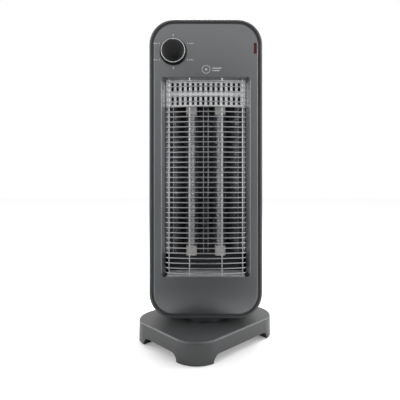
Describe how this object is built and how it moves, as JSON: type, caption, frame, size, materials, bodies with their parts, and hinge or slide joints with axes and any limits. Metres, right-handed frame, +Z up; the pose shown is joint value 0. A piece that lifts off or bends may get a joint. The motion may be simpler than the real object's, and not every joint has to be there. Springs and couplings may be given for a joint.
{
  "type": "carbon heater",
  "caption": "Free-standing tower heater: a tall flat head with carbon tubes behind a wire guard and a control knob swings on a low base with rounded corners and arched sides.",
  "frame": {"origin": "on the floor under the swing axis, at the middle of the base's footprint", "axes": "+Z up; the head's front faces -Y with the knob towards -X; the base is turned 44 degrees"},
  "size_m": [0.2734, 0.2724, 0.645],
  "materials": {
    "housing_plastic": "fine moulded texture",
    "panel_paint": "metallic dark grey, satin",
    "base_plastic": "metallic grey, semi gloss",
    "base_plate_plastic": "moulded",
    "collar_plastic": "moulded",
    "reflector_aluminium": "bright polished",
    "bright_sheet": "bright rolled",
    "dark_sheet": "heat-resistant black",
    "galvanised_sheet": "zinc plated",
    "guard_chrome": "bright plated wire",
    "quartz_glass": "clear fused quartz",
    "carbon_fibre": "woven carbon strip",
    "white_ceramic": "unglazed steatite",
    "knob_black": "gloss",
    "knob_silver": "satin plated",
    "pointer_mark": "inlay",
    "switch_plastic": "moulded phenolic",
    "steel_parts": "turned",
    "brass_nut": "machined",
    "red_lens": "translucent red",
    "lamp_glass": "clear",
    "pale_nylon": "natural nylon",
    "terminal_ceramic": "moulded",
    "zinc_screws": "zinc plated",
    "foot_rubber": "moulded",
    "motor_can": "tin plated",
    "bushing_rubber": "moulded"
  },
  "bodies": {
    "base": {"base_cover": "base_plastic", "base_plate": "base_plate_plastic", "rubber_feet": "foot_rubber", "base_screws": "zinc_screws", "swing_motor": "motor_can", "motor_screws": "zinc_screws", "bearing_washer": "collar_plastic", "tip_switch_bracket": "galvanised_sheet", "tip_switch_body": "switch_plastic", "tip_switch_lever": "steel_parts", "cord_bushing": "bushing_rubber", "base_terminal_block": "terminal_ceramic"},
    "head": {"front_housing": "housing_plastic", "rear_cover": "housing_plastic", "front_panel": "panel_paint", "swivel_hub": "collar_plastic", "reflector": "reflector_aluminium", "vent_plate": "bright_sheet", "lower_ledge": "bright_sheet", "lower_baffle": "dark_sheet", "heat_shield": "galvanised_sheet", "hub_clamp_plate": "galvanised_sheet", "swing_arm": "galvanised_sheet", "guard": "guard_chrome", "quartz_tube_left": "quartz_glass", "quartz_tube_right": "quartz_glass", "carbon_filament_left": "carbon_fibre", "carbon_filament_right": "carbon_fibre", "ceramic_cap_left_low": "white_ceramic", "ceramic_cap_left_high": "white_ceramic", "ceramic_cap_right_low": "white_ceramic", "ceramic_cap_right_high": "white_ceramic", "rotary_switch": "switch_plastic", "thermal_cutout": "switch_plastic", "switch_nut": "brass_nut", "indicator_lens": "red_lens", "indicator_lamp": "lamp_glass", "lamp_holder": "pale_nylon", "head_terminal_block": "terminal_ceramic", "reflector_screws": "zinc_screws", "vent_screws": "zinc_screws", "rear_cover_screws": "zinc_screws", "cap_screws": "zinc_screws", "cutout_screws": "zinc_screws", "hub_screws": "zinc_screws", "arm_screws": "zinc_screws"},
    "knob": {"knob_cap": "knob_black", "knob_ring": "knob_silver", "knob_pointer": "pointer_mark", "switch_shaft": "steel_parts"},
    "crank": {"motor_shaft": "steel_parts", "crank_lever": "steel_parts", "crank_roller": "pale_nylon"},
    "plunger": {"tip_plunger": "pale_nylon", "tip_spring": "steel_parts"}
  },
  "joints": [
    {"name": "head_swing", "type": "hinge", "parent": "base", "child": "head", "pos_m": [0, 0, 0.05], "axis": [0, 0, 1], "range_deg": [-1, 89]},
    {"name": "crank_turn", "type": "hinge", "parent": "base", "child": "crank", "pos_m": [-0.02501, 0.0259, 0.03], "axis": [0, 0, 1], "range_deg": [-3, 238]},
    {"name": "knob_turn", "type": "hinge", "parent": "head", "child": "knob", "pos_m": [-0.0645, -0.05, 0.5807], "axis": [0, 1, 0], "continuous": true},
    {"name": "plunger_drop", "type": "slide", "parent": "base", "child": "plunger", "axis": [0, 0, -1], "range_m": [0, 0.005], "stiffness_N_per_m": 150, "springref_m": 0.008, "deforming": ["tip_spring"]}
  ],
  "couplings": [
    {"joint": "crank_turn", "follows": "head_swing", "ratio": 2.6667}
  ]
}
